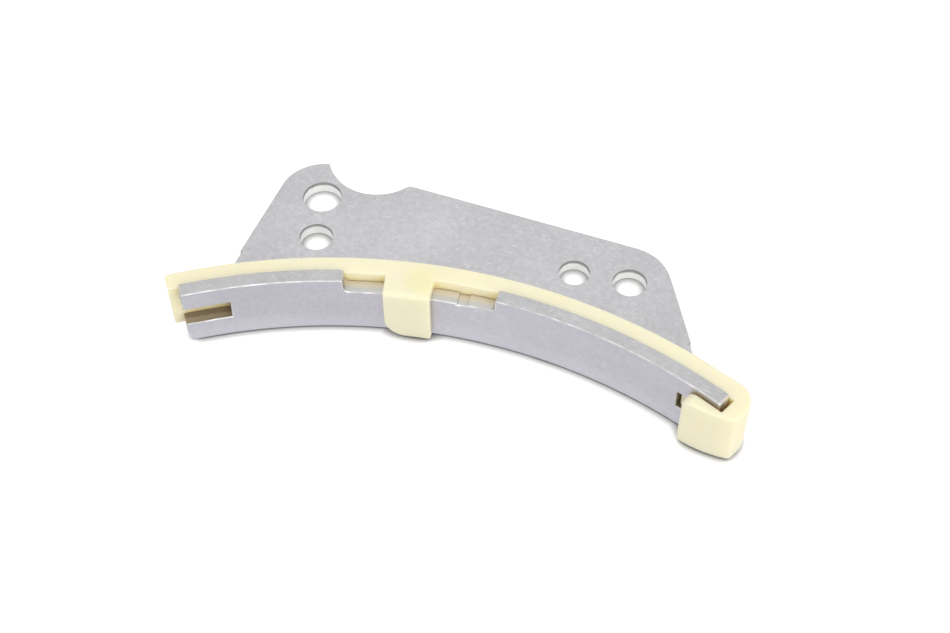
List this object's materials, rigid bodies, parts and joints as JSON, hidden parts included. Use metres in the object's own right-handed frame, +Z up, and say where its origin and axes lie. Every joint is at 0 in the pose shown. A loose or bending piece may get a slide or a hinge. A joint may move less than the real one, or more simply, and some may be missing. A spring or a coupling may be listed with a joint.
{
  "type": "timing chain guide",
  "caption": "Stamped steel bracket with a curved upright flange that carries a moulded wear shoe, guiding a timing chain along an arc beside its mounting plate.",
  "frame": {"origin": "axis of the left bolt hole on the plate's underside, which is the mounting face", "axes": "+X towards the right bolt hole, +Y away from the flange, +Z up off the mounting face"},
  "size_m": [0.1168, 0.0519, 0.015],
  "materials": {
    "rolled_steel": "bare rolled sheet, satin, light handling marks",
    "ivory_nylon": "moulded, soft sheen, slightly translucent"
  },
  "bodies": {
    "root": {"steel_bracket": "rolled_steel", "wear_shoe": "ivory_nylon"}
  },
  "joints": []
}
